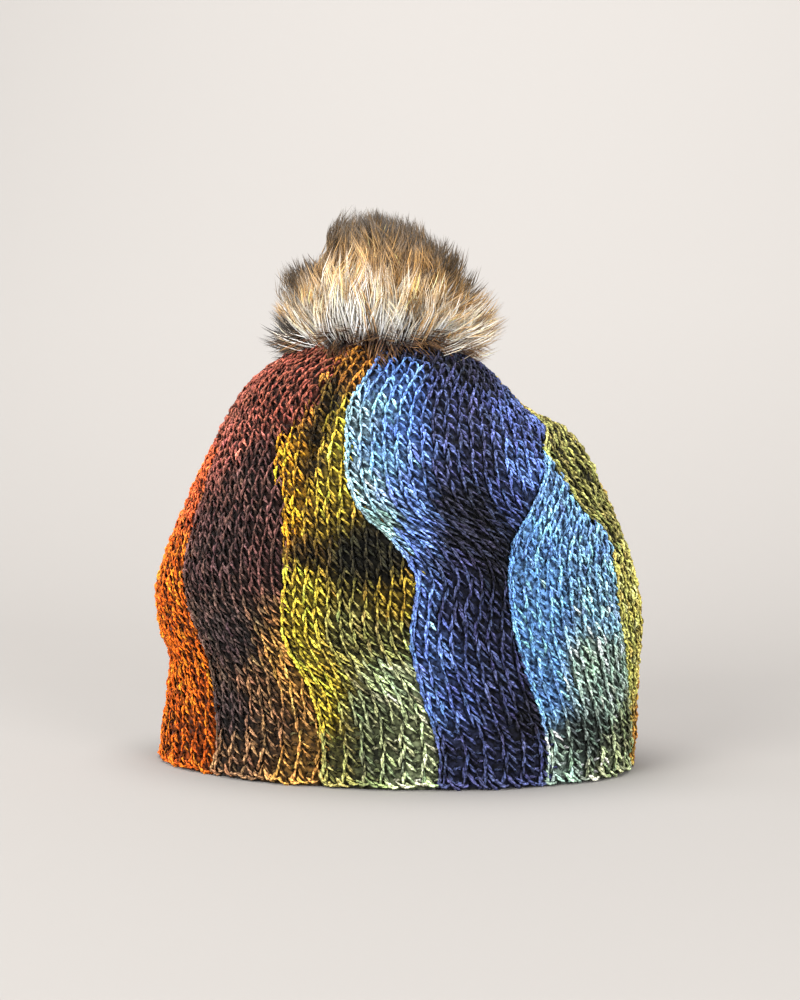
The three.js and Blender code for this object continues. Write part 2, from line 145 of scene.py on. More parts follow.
# One row for each gore: node, left seam, right seam, seam that its knit columns follow, yarn patches.
# A patch is the yarn's name with its angle and level.
GORES = (
    ("gore_orange", "ja", "ab", "right", (
        ("orange", -58, 0.32), ("orange", -48, 0.14), ("orange", -61, 0.04), ("rust_orange", -60, 0.53),
        ("rust", -64, 0.66), ("rust", -75, 0.8), ("orange", -80, 0.25), ("deep_orange", -90, 0.5),
    )),
    ("gore_brown", "ab", "bc", "left", (
        # Dark plum halfway up: partly the yarn's own colour, partly painted shade of a dent
        ("rust", -25, 0.77), ("rust", -38, 0.71), ("dark_rust", -49, 0.63), ("plum", -34, 0.55),
        ("dark_plum_and_shade", -36, 0.4), ("plum", -23, 0.41), ("black_brown", -31, 0.24), ("brown", -24, 0.17),
        ("tan", -17, 0.19), ("black_brown", -34, 0.11), ("brown", -22, 0.08), ("tan", -14, 0.04),
        ("brown", -32, 0.02),
    )),
    ("gore_mustard", "bc", "cd", MUSTARD_GRAIN, (
        # Dark gold down the crease and halfway up, and dark olive halfway up: partly the yarn's own colours,
        # partly painted shade of the crease and a dent
        ("gold_brown", -5, 0.83), ("gold_brown", -14, 0.79), ("gold_brown", -1, 0.78),
        ("dark_gold_and_shade", -9, 0.76), ("dark_gold_and_shade", -13, 0.7), ("dark_gold_and_shade", -15, 0.64),
        ("dark_gold_and_shade", -15, 0.57), ("gold_brown", -20, 0.68), ("gold", -23, 0.61), ("gold", -21, 0.53),
        ("gold", -18, 0.46), ("yellow_olive", -7, 0.67), ("yellow_olive", -7, 0.61),
        ("yellow_olive", -9, 0.54), ("olive_gold", -10, 0.46), ("dark_gold_and_shade", -11, 0.41),
        ("dark_gold_and_shade", -15, 0.42), ("dark_olive_and_shade", -3, 0.41), ("dark_olive_and_shade", 2, 0.42),
        ("dark_olive_and_shade", 6, 0.39), ("yellow", -14, 0.35), ("yellow", -13, 0.27), ("yellow", -9, 0.17),
        ("yellow", -8, 0.12), ("olive", -6, 0.06), ("olive", -5, 0.01), ("olive", -2, 0.27),
        ("olive_gold", 9, 0.33), ("olive", 7, 0.25), ("pale_sage", 8, 0.19), ("sage", 0, 0.13),
        ("sage", 2, 0.06), ("pale_sage", 15, 0.03),
    )),
    ("gore_navy", "cd", "de", "left", (
        ("sea", 1, 0.68), ("sea", 0, 0.55), ("sea_green", 8, 0.46), ("light_blue", 12, 0.7),
        ("light_blue", 8, 0.59), ("mid_blue", 25, 0.78), ("mid_blue", 21, 0.72), ("mid_blue", 15, 0.65),
        ("blue", 17, 0.6), ("blue", 14, 0.53), ("dark_navy", 25, 0.84), ("dark_navy", 42, 0.82),
        ("navy", 38, 0.77), ("navy", 32, 0.71), ("navy", 27, 0.64), ("navy", 23, 0.57),
        ("dark_navy", 60, 0.78), ("navy", 46, 0.69), ("navy", 36, 0.6), ("navy_blue", 58, 0.67),
        # Dark navy halfway up: partly the yarn's own colour, partly painted shade of the dent there
        ("navy_blue", 60, 0.61), ("blue", 51, 0.56), ("navy_blue", 43, 0.51), ("dark_navy", 24, 0.51),
        ("dark_navy", 31, 0.48), ("dark_navy", 25, 0.44), ("dark_navy", 33, 0.4), ("navy", 23, 0.38),
        ("blue", 15, 0.45), ("blue", 14, 0.34), ("navy", 22, 0.31), ("blue", 15, 0.25),
        ("navy", 30, 0.26), ("blue", 16, 0.16), ("navy_blue", 23, 0.17), ("navy", 33, 0.16),
        ("dark_navy", 41, 0.12), ("navy", 24, 0.05), ("navy", 42, 0.04),
    )),
    ("gore_sky", "de", "ef", "left", (
        ("light_blue", 56, 0.52), ("sky", 42, 0.41), ("sky", 41, 0.3), ("sky", 44, 0.18),
        ("light_blue", 63, 0.43), ("aqua", 64, 0.33), ("grey_sage", 58, 0.2), ("grey_sage", 70, 0.17),
        ("dark_sage", 58, 0.07), ("grey_sage", 50, 0.02), ("pale_sage", 68, 0.01), ("sage", 82, 0.08),
    )),
    ("gore_olive", "ef", "fg", "left", (
        ("olive", 83, 0.62), ("olive", 77, 0.52), ("olive", 84, 0.45), ("pale_yellow", 81, 0.33),
        ("pale_yellow", 82, 0.2), ("olive_gold", 104, 0.3), ("tan", 112, 0.55), ("gold_brown", 106, 0.1),
    )),
    ("gore_rust", "fg", "gh", "left", (
        ("rust", 135, 0.7), ("rust_orange", 128, 0.45), ("orange", 128, 0.2), ("deep_orange", 145, 0.08),
        ("dark_rust", 146, 0.4),
    )),
    ("gore_plum", "gh", "hi", "left", (
        ("dark_rust", 165, 0.72), ("plum", 160, 0.45), ("black_brown", 178, 0.35), ("brown", 172, 0.12),
        ("tan", 188, 0.05),
    )),
    ("gore_green", "hi", "ij", "left", (
        ("gold", 205, 0.68), ("olive_gold", 205, 0.45), ("yellow", 196, 0.28), ("olive", 215, 0.25),
        ("sage", 218, 0.06),
    )),
    ("gore_blue", "ij", "ja", "left", (
        ("sea", 228, 0.66), ("sea", 250, 0.7), ("light_blue", 230, 0.5), ("light_blue", 250, 0.55),
        ("blue", 230, 0.36), ("blue", 252, 0.38), ("navy_blue", 234, 0.24), ("navy", 256, 0.26),
        ("navy", 238, 0.08), ("dark_navy", 262, 0.08),
    )),
)

# Reach of a yarn patch's own colour in mm, and how sharply it gives way to the next
PATCH_BLUR = 4
PATCH_SHARPNESS = 2.5

# Pitches in mm of the knit columns, the rows and the ribs, and the purl columns on the wall of a gore
WALE_PITCH = 5.6
ROW_PITCH = 4.6
RIB_PITCH = 8.9
WALES_IN_GORE = 11

# Height of the first row in mm, level of the band's top, level where the rows end under the pompom
RIM_LIFT = 2.0
BAND_TOP = 0.11
CROWN_ROWS_END = 0.94

# Depth under the form in mm: stitches, face of the backing wall
STITCH_SINK = 1.8
BACKING_DEPTH = 3.1

# At a gore's edges: how far stitches pass the seam and where they begin to dip, in pitches, and the dip in mm
EDGE_OVERHANG = 0.3
TUCK_FROM = 0.35
TUCK_DEPTH = 1.4

# Yarn of two plies: their offset and radius as shares of the yarn's radius, and their twist along a leg
PLIES = 2
PLY_SIDES = 3
PLY_OFFSET = 0.44
PLY_RADIUS = 0.60
PLY_TWIST = 4.4

# The strand pattern's length round a ply, and the most that it starts further along
PLY_ROUND = 3.4
STRAND_SHIFT = 20

# Waves in the knit: size, change for each mm of height, change for each radian round
SWAYS = ((0.08, 0.23, 41), (0.06, 0.52, -67))
DRIFT = (0.14, 0.31, 29)

# Chance in each leg: aside, ahead, tilt, outward in mm, thickness
ASIDE_CHANCE = 0.09
AHEAD_CHANCE = 0.14
TILT_CHANCE = 0.5
OUTWARD_CHANCE = 0.5
THICKNESS_CHANCE = 0.18
FLOOR_CLEARANCE = 0.05

# Yarn colour: gain against the painted shade between stitches, chance in brightness and in hue, limit
YARN_GAIN = 2.8
BRIGHTNESS_CHANCE = 0.30
HUE_CHANCE = 0.05
COLOUR_LIMIT = 0.95

# Shade in a fold for each mm of its depth, and its darkest
CREASE_SHADE = 0.26
CREASE_DARKEST = 0.2

# Painted shade between stitches and down the sides of each ply, lightest on its crest: in dark yarn, what
# pale yarn adds, heights between which it clears, its curve
HOLLOW_DARK = 0.04
HOLLOW_PALE = 0.4
HOLLOW_HEIGHTS = (0.1, 1.6)
HOLLOW_CURVE = 1.3

# Share of the yarn's colour on the backing wall, whose dark outside is painted shade between the stitches:
# outside, what pale yarn adds, inside
WALL_OUTSIDE_SHADE = 0.2
WALL_PALE_SHADE_LIFT = 0.4
WALL_INSIDE = 0.7

# Stitch legs: across in wale pitches, along in rows, out in mm, yarn radius in mm
SLANT_LEG = np.array([
    (-0.22, 1.38, -1.2, 0.50),
    (-0.10, 1.06, 0.2, 0.80),
    (0.06, 0.80, 0.75, 0.90),
    (0.24, 0.52, 0.75, 0.90),
    (0.40, 0.22, 0.1, 0.80),
    (0.50, -0.14, -1.2, 0.50),
])
UPRIGHT_LEG = np.array([
    (-0.36, -0.34, -1.2, 0.50),
    (-0.33, 0.02, 0.3, 0.82),
    (-0.31, 0.38, 0.9, 0.92),
    (-0.29, 0.74, 0.95, 0.92),
    (-0.27, 1.10, 0.4, 0.82),
    (-0.24, 1.48, -1.2, 0.50),
])
EDGE_LEG = np.array([
    (0.06, -0.30, -0.6, 0.55),
    (0.05, 0.05, 0.7, 0.95),
    (0.04, 0.40, 1.2, 1.05),
    (0.04, 0.75, 1.2, 1.05),
    (0.03, 1.10, 0.7, 0.95),
    (0.02, 1.45, -0.6, 0.55),
])
PURL_BAR = np.array([
    (0.30, 0.30, -1.6, 0.50),
    (0.36, 0.48, -0.9, 0.75),
    (0.44, 0.56, -0.6, 0.85),
    (0.54, 0.56, -0.6, 0.85),
    (0.62, 0.48, -0.9, 0.75),
    (0.68, 0.30, -1.6, 0.50),
])
RIM_LOOP = np.array([
    (-0.80, 0.62, -0.6, 0.60),
    (-0.52, 0.40, 0.8, 0.95),
    (-0.20, 0.16, 1.4, 1.05),
    (0.16, 0.00, 1.4, 1.05),
    (0.50, -0.10, 0.8, 0.95),
    (0.80, -0.12, -0.6, 0.60),
])

# Pompom: its middle, hairs in a tuft, sides of a hair, its radius in mm and from root to tip, its length
POMPOM = np.array([-9.5, 0.0, 211.0])
HAIRS_IN_TUFT = 12
HAIR_SIDES = 3
HAIR_RADIUS = (0.17, 0.31)
HAIR_TAPER = np.array([0.8, 1.1, 1.0, 0.75])
HAIR_LENGTH = 50

# Core under the fur: radius, height of the crown under it, the crown's drop, heights between which it pales
CORE_RADIUS = 33
CROWN_TOP = 202
CROWN_DROP = 0.01
CORE_PALES = (203, 214)

# Outline of the fur round the middle of the pompom in the view: slope, reach to the left, reach to the right
FUR_REACH = np.array([
    (-30, 50, 55), (-20, 52, 59), (-10, 57, 61), (0, 53, 62), (10, 51, 60), (20, 50, 57), (30, 54, 56),
    (38, 49, 54), (46, 43, 53), (54, 39, 51), (60, 46, 51), (66, 52, 52), (76, 55, 52), (90, 52, 52),
])
# Reach of the fur toward the viewer, and how near the outline it goes over to the outline's reach
FUR_REACH_MIDDLE = 51
OUTLINE_NEAR = (0.75, 0.97)

# Tufts: count, lowest and highest rise of the roots, lift to the tip at the front and at the sides,
# reach of the roots, colours
LOWER_TUFTS = (
    (120, -22, -12, -2, -2, 18, "hem"),
    (145, -34, -16, 54, 20, 27, "skirt"),
    (25, -34, -16, 54, 20, 27, "middle"),
    (170, -20, 2, 42, 18, 27, "coat"),
    (30, -20, 2, 46, 18, 27, "middle"),
)
UPPER_TUFTS = (
    (130, 0, 22, 44, 16, 27, "middle"),
    (140, 12, 36, 36, 16, 27, "middle"),
    (140, 30, 60, 26, 14, 27, "middle"),
    (90, 58, 88, 8, 5, 27, "middle"),
)
GOLDEN_TURN = 137.508
HIGHEST_TIP = 94

# Chance in each tuft in degrees: turn of the root, lift, swing of the tip, bow. Lift that has the full bow
TUFT_TURN = 9
TUFT_LIFT = 10
TUFT_SWING = 14
TUFT_BOW = 8
FULL_BOW_LIFT = 30

# Spread of a tuft's hairs in degrees, and the share of it left at the tip
FAN_TURN = 4.2
FAN_RISE = 4.0
FAN_AT_TIP = 0.38

# Chance in the length of a hair and of a tuft, and in the reach of a root in mm
HAIR_LONG = (0.86, 1.03)
TUFT_LONG = (0.93, 1.03)
ROOT_CHANCE = (-2.5, 1.0)

# Curves of a hair from root to tip: turn, rise, reach
TURN_CURVE = 1.4
RISE_CURVE = 0.9
REACH_CURVE = 0.72

# Dark locks at the left: turn, half width, highest tip
DARK_TURN = -92
DARK_HALF_WIDTH = 34
DARK_HIGHEST = 6

# Dark tips at the outline: nearness to it, rise and share of the hair over which they come in, darkest shade
RIM_NEAR = (0.74, 0.93)
RIM_RISE = (4, 24)
RIM_SHARE = (0.5, 0.74)
FUR_TIP_DARKEST = 0.14

# Chance in the fur's colours: brightness of a tuft and of a hair, shift along the hair
TUFT_BRIGHTNESS = 0.36
HAIR_BRIGHTNESS = 0.40
TONE_SHIFT = 0.08

# Fur colours from root to tip: share of the length and colour in 0 to 255
FUR_COLOURS = {
    # The hem's dark brown is partly the roots' own colour and partly painted shade where the pompom meets the
    # crown
    "hem": ((0.0, (44, 28, 24)), (0.6, (58, 38, 30)), (0.85, (104, 74, 48)), (1.0, (150, 112, 68))),
    "skirt": ((0.0, (50, 30, 26)), (0.12, (92, 62, 50)), (0.22, (226, 208, 186)), (0.30, (255, 253, 246)),
              (0.66, (255, 252, 240)), (0.80, (230, 204, 162)), (0.90, (170, 132, 84)), (1.0, (112, 84, 54))),
    "coat": ((0.0, (60, 38, 30)), (0.16, (120, 86, 62)), (0.28, (244, 234, 216)), (0.56, (255, 248, 230)),
             (0.70, (214, 176, 122)), (0.86, (156, 118, 70)), (1.0, (104, 80, 50))),
    "middle": ((0.0, (66, 46, 34)), (0.3, (128, 98, 66)), (0.5, (176, 140, 94)), (0.72, (178, 138, 82)),
               (0.90, (146, 110, 64)), (1.0, (104, 80, 50))),
    "dark": ((0.0, (50, 30, 26)), (0.4, (110, 84, 58)), (0.6, (66, 58, 50)), (1.0, (46, 44, 42))),
}
FUR_ROOT = (58, 34, 28)
FUR_CORE = (158, 122, 80)

# Photograph's view: turn round the hat, height above the level, distance and aim, height of the field
VIEW_TURN = 12
VIEW_RISE = 3
VIEW_DISTANCE = 950
VIEW_AIM = (1.9, 0, 125)
FIELD_HEIGHT = 480
SENSOR = 36

# Lights, in metres: name, place, aim, size, power, colour
LIGHTS = (
    ("key", (-0.6, -1.25, 0.8), (0, 0, 0.15), 0.9, 29, (1.0, 0.985, 0.965)),
    ("fill", (0.9, -1.0, 0.5), (0, 0, 0.15), 0.7, 17, (0.98, 0.99, 1.0)),
    ("side", (-1.2, -0.3, 0.5), (0, 0, 0.1), 0.6, 5, (1.0, 0.99, 0.97)),
    ("backdrop", (-0.2, 0.3, 2.2), (-0.2, 1.6, 0.3), 2.0, 102, (1.0, 0.99, 0.985)),
)
WORLD_COLOUR = (0.9, 0.89, 0.875, 1)
WORLD_STRENGTH = 0.55

# Floor, in metres: half width, front edge, start and radius of the bend, height of the backdrop
FLOOR_HALF_WIDTH = 3.5
FLOOR_FRONT = -3.0
BEND_START = 0.45
BEND_RADIUS = 1.2
BEND_STEPS = 20
BACKDROP_HEIGHT = 3.2

# Floor colours, and the distances over which the backdrop's and the far floor's come in
FLOOR_COLOUR = (138, 135, 132)
BACKDROP_COLOUR = (147, 144, 141)
FAR_COLOUR = (240, 237, 233)
BACKDROP_RANGE = (0.2, 1.2)
FAR_RANGE = (1.2, 3.4)


def linear(colour):
    """Scene colour of an 0 to 255 colour."""
    share = np.asarray(colour, float) / 255
    return np.where(share <= 0.04045, share / 12.92, ((share + 0.055) / 1.055) ** 2.4)


def smooth(low, high, x):
    share = np.clip((x - low) / (high - low), 0, 1)
    return share * share * (3 - 2 * share)


def mix(a, b, share):
    return a + (b - a) * share


def curve(keys, values, at):
    """A smooth curve through the values, the same one that the part's source uses."""
    keys = np.asarray(keys, float)
    values = np.asarray(values, float)
    at = np.asarray(at, float)
    before = np.maximum(np.arange(len(keys)) - 1, 0)
    after = np.minimum(np.arange(len(keys)) + 1, len(keys) - 1)
    slope = (values[after] - values[before]) / (keys[after] - keys[before])
    i = np.clip(np.searchsorted(keys, at, side="left") - 1, 0, len(keys) - 2)
    span = keys[i + 1] - keys[i]
    s = (at - keys[i]) / span
    rise = s * s * (3 - 2 * s)
    start = s * (1 - s) ** 2 * span * slope[i]
    end = s * s * (s - 1) * span * slope[i + 1]
    return mix(values[i], values[i + 1], rise) + start + end


def profile_levels():
    """Level of each section, in step with the length of the profile, and that length."""
    mean = (SECTIONS[:, 2] + SECTIONS[:, 3]) / 2
    steps = np.hypot(np.diff(SECTIONS[:, 0]), np.diff(mean))
    along = np.concatenate([[0], np.cumsum(steps)])
    return along / along[-1], along[-1]


LEVELS, LENGTH = profile_levels()


def form_point(angle, level):
    height, lean, half_width, half_depth = (curve(LEVELS, SECTIONS[:, k], level) for k in range(4))
    x = lean + CENTRE_SHIFT + half_width * np.sin(angle)
    return np.stack([x, -half_depth * np.cos(angle), height + 0 * angle], -1)


def unit(vectors):
    return vectors / np.linalg.norm(vectors, axis=-1, keepdims=True)


def form_frame(angle, level):
    """Directions round, up and out of the form at a place."""
    step = 0.004
    around = unit(form_point(angle + step, level) - form_point(angle - step, level))
    low = np.maximum(level - step, 0)
    high = np.minimum(level + step, 1)
    up = unit(form_point(angle, high) - form_point(angle, low))
    return around, up, unit(np.cross(around, up))


def spread(angle, level):
    """Millimetres on the surface for one radian of angle."""
    half_width = curve(LEVELS, SECTIONS[:, 2], level)
    half_depth = curve(LEVELS, SECTIONS[:, 3], level)
    return np.hypot(half_width * np.cos(angle), half_depth * np.sin(angle))


def seam_angle(name, level):
    """Angle of a seam in radians."""
    if name in BACK_SEAMS:
        rim, crown = BACK_SEAMS[name]
        return np.radians(mix(rim, crown, level / CROWN_LEVEL) + curve(WAVE[:, 0], WAVE[:, 1], level))
    if name == "ef":
        lower = curve(SEAMS[:, 0], SEAMS[:, SEAM_COLUMN["ef"]], level)
        joined = curve(SEAMS[:, 0], SEAMS[:, SEAM_COLUMN["de"]], level)
        return np.radians(np.where(level < LEAF_TOP, lower, joined))
    return np.radians(curve(SEAMS[:, 0], SEAMS[:, SEAM_COLUMN[name]], level))


def gore_edges(left, right, level):
    low = seam_angle(left, level)
    high = seam_angle(right, level)
    return np.where(low > high, low - 2 * math.pi, low), high


def fold_depth(angle, level):
    total = np.zeros(np.broadcast(angle, level).shape)
    for from_angle, from_level, to_angle, to_level, half_width, depth in FOLDS:
        middle = math.radians((from_angle + to_angle) / 2)
        scale = spread(middle, (from_level + to_level) / 2)
        turn = np.round((angle - middle) / (2 * math.pi)) * 2 * math.pi
        px = (angle - turn - math.radians(from_angle)) * scale
        py = (level - from_level) * LENGTH
        dx = math.radians(to_angle - from_angle) * scale
        dy = (to_level - from_level) * LENGTH
        share = np.clip((px * dx + py * dy) / (dx * dx + dy * dy), 0, 1)
        away = np.hypot(px - share * dx, py - share * dy) / half_width
        total = total + depth * np.exp(-away * away)
    return total


def relief(angle, level, share):
    """Height of the fabric over the plain form: the swelling of a gore, less its folds."""
    swell = BULGE * np.sqrt(np.clip(4 * share * (1 - share), 0, 1))
    return (swell - fold_depth(angle, level)) * (1 - smooth(FADE_FROM, FADE_TO, level))


def yarn_colour(patches, angle, level):
    """Blend of the yarn patches near a place, each weighted by its closeness."""
    total = np.zeros(np.shape(angle) + (3,))
    weights = np.zeros(np.shape(angle))
    scale = spread(angle, level)
    for name, patch_angle, patch_level in patches:
        turn = (angle - math.radians(patch_angle) + math.pi) % (2 * math.pi) - math.pi
        away = np.hypot(turn * scale, (level - patch_level) * LENGTH)
        weight = 1 / (away ** 2 + PATCH_BLUR ** 2) ** PATCH_SHARPNESS
        total += weight[..., None] * linear(YARN[name])
        weights += weight
    return total / weights[..., None]


def paleness(colour):
    """How light the hollows between stitches stay: most in the pale and the blue yarns."""
    return (colour.min(-1) + colour[..., 2]) / 2


def tube_faces(rings, sides, pointed):
    """Corners, face sizes and unit-square UVs of a tube of rings, capped at both ends.

    The caps lie in the strips of the square below the foot and above the top.
    """
    corners, sizes, places = [], [], []
    last = rings - 1
    foot, top = 0.1, 0.9
    for ring in range(last):
        start, end = ring * sides, (ring + 1) * sides
        low = foot + ring / last * (top - foot)
        high = foot + (ring + 1) / last * (top - foot)
        for side in range(sides):
            after = (side + 1) % sides
            left, right = side / sides, (side + 1) / sides
            corners += [start + side, start + after, end + after, end + side]
            places += [(left, low), (right, low), (right, high), (left, high)]
            sizes.append(4)
    turns = [2 * math.pi * k / sides for k in range(sides)]
    cap = [(0.5 + 0.45 * math.cos(turn), 0.045 * math.sin(turn)) for turn in turns]
    corners += list(range(sides))[::-1]
    places += [(u, foot / 2 + v) for u, v in cap][::-1]
    sizes.append(sides)
    if pointed:
        for side in range(sides):
            corners += [last * sides + side, last * sides + (side + 1) % sides, rings * sides]
            places += [(side / sides, top), ((side + 1) / sides, top), ((side + 0.5) / sides, 1.0)]
            sizes.append(3)
    else:
        corners += [last * sides + side for side in range(sides)]
        places += [(u, (1 + top) / 2 + v) for u, v in cap]
        sizes.append(sides)
    return np.array(corners), np.array(sizes), np.array(places)


def joined_tubes(name, points, faces, colours, along, around):
    """One piece from many like tubes: points (tubes, points, 3) in mm, colours and lengths at each point."""
    corners, sizes, places = faces
    count, each = points.shape[:2]
    mesh = bpy.data.meshes.new(name)
    mesh.vertices.add(count * each)
    mesh.vertices.foreach_set("co", (points.reshape(-1, 3) * MM).astype(np.float32).ravel())
    loops = (corners[None, :] + each * np.arange(count)[:, None]).ravel()
    mesh.loops.add(len(loops))
    mesh.loops.foreach_set("vertex_index", loops.astype(np.int32))
    starts = np.concatenate([[0], np.cumsum(sizes)[:-1]])
    starts = (starts[None, :] + len(corners) * np.arange(count)[:, None]).ravel()
    mesh.polygons.add(len(starts))
    mesh.polygons.foreach_set("loop_start", starts.astype(np.int32))
    mesh.polygons.foreach_set("use_smooth", np.ones(len(starts), bool))
    cells = math.ceil(math.sqrt(count))
    cell = np.stack([np.arange(count) % cells, np.arange(count) // cells], -1)
    margin = 0.04
    bake = (cell[:, None, :] + margin + (1 - 2 * margin) * places[None, :, :]) / cells
    bake_map = mesh.uv_layers.new(name="OFBake")
    bake_map.data.foreach_set("uv", bake.astype(np.float32).ravel())
    strand_map = mesh.uv_layers.new(name="Strand")
    strand = np.stack([np.broadcast_to(places[:, 0] * around, (count, len(corners))),
                       along.reshape(count, each)[:, corners]], -1)
    strand_map.data.foreach_set("uv", strand.astype(np.float32).ravel())
    rgba = np.concatenate([colours.reshape(-1, 3), np.ones((count * each, 1))], 1)
    attribute = mesh.color_attributes.new("yarn", "FLOAT_COLOR", "POINT")
    attribute.data.foreach_set("color", rgba.astype(np.float32).ravel())
    mesh.update()
    mesh.validate()
    obj = bpy.data.objects.new(name, mesh)
    bpy.context.collection.objects.link(obj)
    return obj


def smooth_object(name, shape):
    """Object of a finished shape, shaded smooth."""
    mesh = bpy.data.meshes.new(name)
    shape.to_mesh(mesh)
    shape.free()
    for polygon in mesh.polygons:
        polygon.use_smooth = True
    obj = bpy.data.objects.new(name, mesh)
    bpy.context.collection.objects.link(obj)
    return obj


def tube_rings(path, side, out, radius, sides, turn):
    """Rings of points round each path and their heights, the first point at the given turn from the side.

    The path, side and out are (tubes, rings, 3), the radius and turn (tubes, rings).
    """
    turns = turn[..., None] + 2 * math.pi * np.arange(sides) / sides
    ring = np.cos(turns)[..., None] * side[..., None, :] + np.sin(turns)[..., None] * out[..., None, :]
    points = path[..., None, :] + radius[..., None, None] * ring
    return points.reshape(len(path), -1, 3), np.sin(turns) * radius[..., None]


def stitch_rows(left, right, grain, pitch, levels, columns):
    """Place of every stitch in some rows of a gore: centre, step across, step along, out, angle, level.

    The grain gives the distance across the gore at which the knit columns start, and the side they go to.
    """
    table = []
    for level in levels:
        low, high = gore_edges(left, right, level)
        angles = np.linspace(low, high, 60)
        speed = spread(angles, level)
        arc = np.concatenate([[0], np.cumsum((speed[1:] + speed[:-1]) / 2 * np.diff(angles))])
        width = arc[-1]
        start, side = grain(level, low, spread(low, level), width)
        where = start + side * columns * pitch
        from_free_edge = width - where if side > 0 else where
        inside = (where > -EDGE_OVERHANG * pitch) & (where < width + EDGE_OVERHANG * pitch)
        tuck = TUCK_DEPTH * smooth(TUCK_FROM * pitch, -EDGE_OVERHANG * pitch, from_free_edge)
        angle = low + np.interp(where, arc, angles - low)
        angle = angle + np.minimum(where, 0) / speed[0] + np.maximum(where - width, 0) / speed[-1]
        share = np.clip(where / width, 0, 1)
        flat = np.full_like(angle, level)
        around, _, out = form_frame(angle, flat)
        rise = relief(angle, flat, share) - tuck - STITCH_SINK
        centre = form_point(angle, flat) + out * rise[:, None]
        table.append((centre, around * pitch, out, angle, flat, inside))
    centre, across, out, angle, level, inside = (np.stack([row[k] for row in table]) for k in range(6))
    step = centre[1:] - centre[:-1]
    keep = inside[:-1]
    return [part[keep] for part in (centre[:-1], across[:-1], step, out[:-1], angle[:-1], level[:-1])]


def grain_along(follow):
    """Distance across the gore at which its knit columns start, and the side that they are counted to."""
    def from_left(level, low, scale, width):
        return 0.0, 1

    def from_right(level, low, scale, width):
        return width, -1

    def from_line(level, low, scale, width):
        line = math.radians(float(curve(follow[:, 0], follow[:, 1], level)))
        return (line - low) * scale, 1

    if isinstance(follow, str):
        return from_left if follow == "left" else from_right
    return from_line


def wave(size, per_row, per_turn, row, angle):
    return size * np.sin(per_row * row + per_turn * angle)


def leg_plies(leg, places, jitter, narrow, loose):
    """Points of the plies of one leg of every stitch, with the length along and the height of each point."""
    centre, across, step, out, angle, level = places
    aside, ahead, outward, thicker, tilt, twist = (jitter[:, k:k + 1] for k in range(6))
    angle = angle[:, None]
    row = level[:, None] * LENGTH
    sway = sum(wave(*numbers, row, angle) for numbers in SWAYS) + ASIDE_CHANCE * aside
    drift = wave(*DRIFT, row, angle) + AHEAD_CHANCE * ahead
    x = leg[:, 0] * narrow + sway * loose
    y = leg[:, 1] + drift + TILT_CHANCE * leg[:, 0] * tilt
    z = leg[:, 2] + OUTWARD_CHANCE * outward
    path = centre[:, None] + x[..., None] * across[:, None]
    path = path + y[..., None] * step[:, None] + z[..., None] * out[:, None]
    along = unit(np.gradient(path, axis=1))
    side = unit(np.cross(along, np.broadcast_to(out[:, None], path.shape)))
    lift = np.cross(side, along)
    radius = leg[:, 3] * (1 + THICKNESS_CHANCE * thicker)
    offset = PLY_OFFSET * radius
    steps = np.linalg.norm(np.diff(path, axis=1), axis=-1)
    length = np.concatenate([np.zeros((len(path), 1)), np.cumsum(steps, 1)], 1)
    share = np.linspace(0, 1, len(leg))
    points, heights = [], []
    for ply in range(PLIES):
        turn = 2 * math.pi * ply / PLIES + PLY_TWIST * share + math.pi * twist
        beside, above = offset * np.cos(turn), offset * np.sin(turn)
        ply_path = path + beside[..., None] * side + above[..., None] * lift
        ring, rise = tube_rings(ply_path, side, lift, PLY_RADIUS * radius, PLY_SIDES, turn)
        points.append(ring)
        heights.append((z + above)[..., None] + rise)
    points = np.concatenate(points)
    points[..., 2] = np.maximum(points[..., 2], FLOOR_CLEARANCE)
    heights = np.concatenate(heights).reshape(len(points), -1)
    lengths = np.tile(np.repeat(length, PLY_SIDES, axis=1), (PLIES, 1))
    return points, lengths, heights


